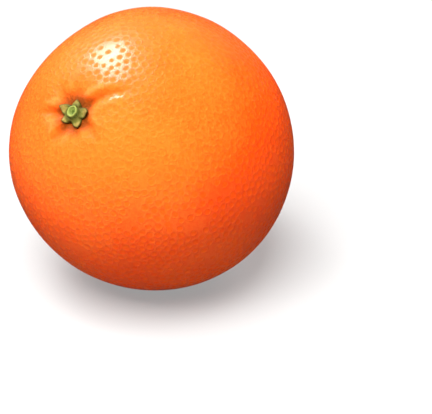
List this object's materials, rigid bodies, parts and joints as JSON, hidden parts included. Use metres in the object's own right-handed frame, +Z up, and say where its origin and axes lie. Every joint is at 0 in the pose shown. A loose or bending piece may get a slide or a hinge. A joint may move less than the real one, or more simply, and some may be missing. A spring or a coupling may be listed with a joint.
{
  "type": "orange fruit",
  "caption": "Whole round sweet orange lying on its side, with a pitted glossy peel, a dimpled and creased stem end, a small green calyx and a short cut stem stub.",
  "frame": {"origin": "on the surface the fruit rests on, below the middle of its outline seen from above", "axes": "+Z up, -Y towards the front; the stem end leans 55 degrees from +Z, turned 39 degrees from -Y towards -X"},
  "size_m": [0.0776, 0.078, 0.0771],
  "materials": {
    "peel": "waxy satin gloss, pitted",
    "calyx": "matt, dry at the tips",
    "stem": "matt green wood, freshly cut"
  },
  "bodies": {
    "root": {"fruit": "peel", "calyx": "calyx", "stem_stub": "stem"}
  },
  "joints": []
}
